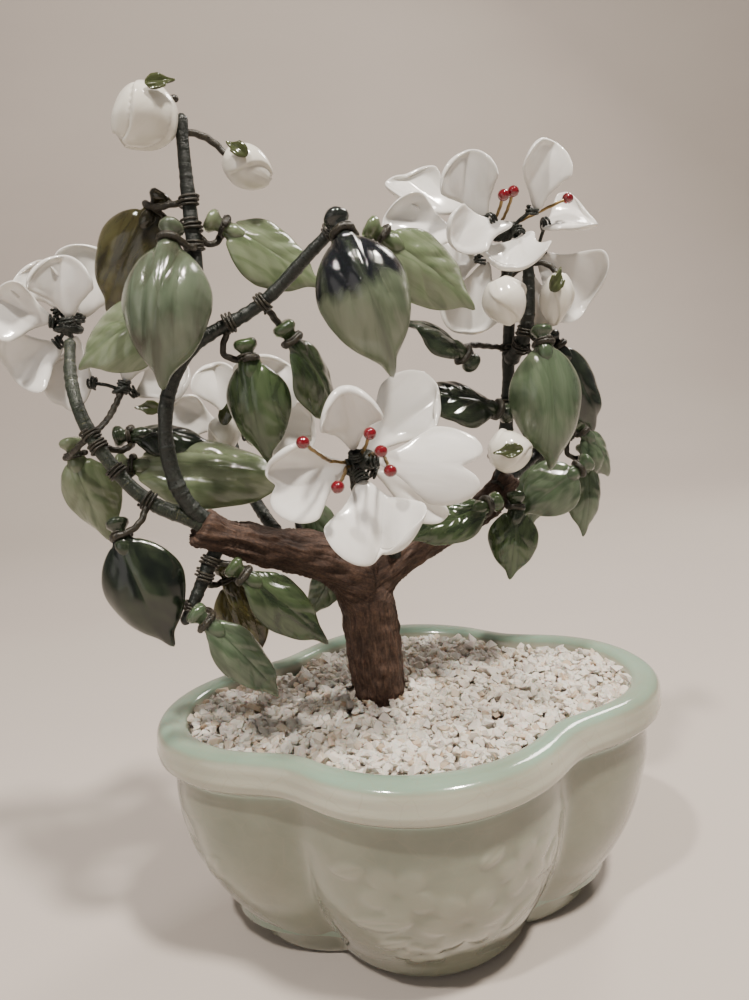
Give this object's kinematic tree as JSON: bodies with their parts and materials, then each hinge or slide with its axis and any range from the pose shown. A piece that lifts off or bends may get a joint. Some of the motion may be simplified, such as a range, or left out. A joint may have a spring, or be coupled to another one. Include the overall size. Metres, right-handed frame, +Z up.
{
  "type": "ornamental glass tree in a pot",
  "caption": "Wired ornamental tree with jade-coloured glass leaves and white glass flowers on a forked trunk in a four-lobed glazed pot; some leaves swivel in wire rings.",
  "frame": {"origin": "centre of the flat foot of the pot, on the surface it stands on", "axes": "+Z up along the trunk, +X along the long axis of the pot towards the right as seen from the front, front faces -Y"},
  "size_m": [0.1923, 0.1154, 0.252],
  "materials": {
    "celadon": "pale green crackle glaze, glossy, pooled darker on the rim",
    "plaster": "matt gypsum plaster",
    "gravel": "broken white and cream marble chips",
    "bark_wrap": "brown crepe paper wrapped and creased lengthwise like bark",
    "rod_steel": "plain drawn wire rod",
    "branch_tape": "dark green thread and tape wound tightly, slightly waxy",
    "twig_wire": "fine wire covered with brown green thread",
    "tie_wire": "dulled brass binding wire",
    "stamen_wire": "bare brass wire",
    "bead_glass": "ruby red glass, polished",
    "heart_tape": "dark green tape wound into a knot",
    "sepal_glass": "olive green glass, polished",
    "leaf_glass": "jade green streaked glass, translucent and polished",
    "petal_glass": "white opal glass, translucent at thin edges, polished"
  },
  "bodies": {
    "tree": {"armature_rod": "rod_steel", "branch_left_droop": "branch_tape", "branch_left_high": "branch_tape", "branch_left_loop": "branch_tape", "branch_left_low": "branch_tape", "branch_right_low": "branch_tape", "branch_right_main": "branch_tape", "branch_right_side": "branch_tape", "bud_side": "petal_glass", "bud_stems": "twig_wire", "bud_top": "petal_glass", "buds_small": "petal_glass", "flower_hearts": "heart_tape", "flower_stalks": "branch_tape", "gravel_bed": "gravel", "gravel_chips": "gravel", "leaf_droop_back": "leaf_glass", "leaf_droop_front": "leaf_glass", "leaf_droop_right": "leaf_glass", "leaf_high_front": "leaf_glass", "leaf_high_left": "leaf_glass", "leaf_loop_front": "leaf_glass", "leaf_low_left_black": "leaf_glass", "leaf_low_left_long": "leaf_glass", "leaf_low_right_a": "leaf_glass", "leaf_right_outer": "leaf_glass", "leaves_behind_fork": "leaf_glass", "leaves_low_right": "leaf_glass", "leaves_right_inner": "leaf_glass", "leaves_right_limb": "leaf_glass", "petal_front_bottom": "petal_glass", "petal_front_high": "petal_glass", "petal_front_left": "petal_glass", "petal_front_lower": "petal_glass", "petal_front_right": "petal_glass", "petal_front_top": "petal_glass", "petals_back": "petal_glass", "petals_left": "petal_glass", "petals_upper": "petal_glass", "plaster_plug": "plaster", "pot": "celadon", "sepals": "sepal_glass", "stamen_beads": "bead_glass", "stamen_wires": "stamen_wire", "tie_wires": "tie_wire", "trunk": "bark_wrap", "twigs_high": "twig_wire", "twigs_loop": "twig_wire", "twigs_low_left": "twig_wire", "twigs_low_right": "twig_wire", "twigs_right": "twig_wire"},
    "leaf_high_back": {"leaf_high_back": "leaf_glass"},
    "leaf_high_right": {"leaf_high_right": "leaf_glass"},
    "leaf_loop_back": {"leaf_loop_back": "leaf_glass"},
    "leaf_loop_hanging": {"leaf_loop_hanging": "leaf_glass"},
    "leaf_loop_edge": {"leaf_loop_edge": "leaf_glass"},
    "leaf_right_front": {"leaf_right_front": "leaf_glass"},
    "leaf_low_left_dark": {"leaf_low_left_dark": "leaf_glass"},
    "leaf_low_left_pale": {"leaf_low_left_pale": "leaf_glass"}
  },
  "joints": [
    {"name": "high_back_swivel", "type": "hinge", "parent": "tree", "child": "leaf_high_back", "pos_m": [-0.061, -0.005, 0.223], "axis": [-0.6068, -0.0286, -0.7943], "range_deg": [-20, 20]},
    {"name": "high_right_swivel", "type": "hinge", "parent": "tree", "child": "leaf_high_right", "pos_m": [-0.043, -0.009, 0.217], "axis": [0.8661, 0.0413, -0.4982], "range_deg": [-20, 20]},
    {"name": "loop_back_swivel", "type": "hinge", "parent": "tree", "child": "leaf_loop_back", "pos_m": [-0.003, -0.022, 0.211], "axis": [0.8027, 0.0757, -0.5916], "range_deg": [-20, 20]},
    {"name": "loop_hanging_swivel", "type": "hinge", "parent": "tree", "child": "leaf_loop_hanging", "pos_m": [-0.04, -0.015, 0.183], "axis": [0.0473, -0.1365, -0.9895], "range_deg": [-20, 20]},
    {"name": "loop_edge_swivel", "type": "hinge", "parent": "tree", "child": "leaf_loop_edge", "pos_m": [-0.028, -0.016, 0.187], "axis": [0.4955, 0.1886, -0.8479], "range_deg": [-20, 20]},
    {"name": "right_front_swivel", "type": "hinge", "parent": "tree", "child": "leaf_right_front", "pos_m": [0.045, -0.003, 0.181], "axis": [0.0271, -0.317, -0.948], "range_deg": [-20, 20]},
    {"name": "low_left_dark_swivel", "type": "hinge", "parent": "tree", "child": "leaf_low_left_dark", "pos_m": [-0.079, -0.015, 0.138], "axis": [0.2538, -0.3547, -0.8999], "range_deg": [-20, 20]},
    {"name": "low_left_pale_swivel", "type": "hinge", "parent": "tree", "child": "leaf_low_left_pale", "pos_m": [-0.093, 0.003, 0.159], "axis": [0.1806, -0.0767, -0.9806], "range_deg": [-20, 20]}
  ]
}
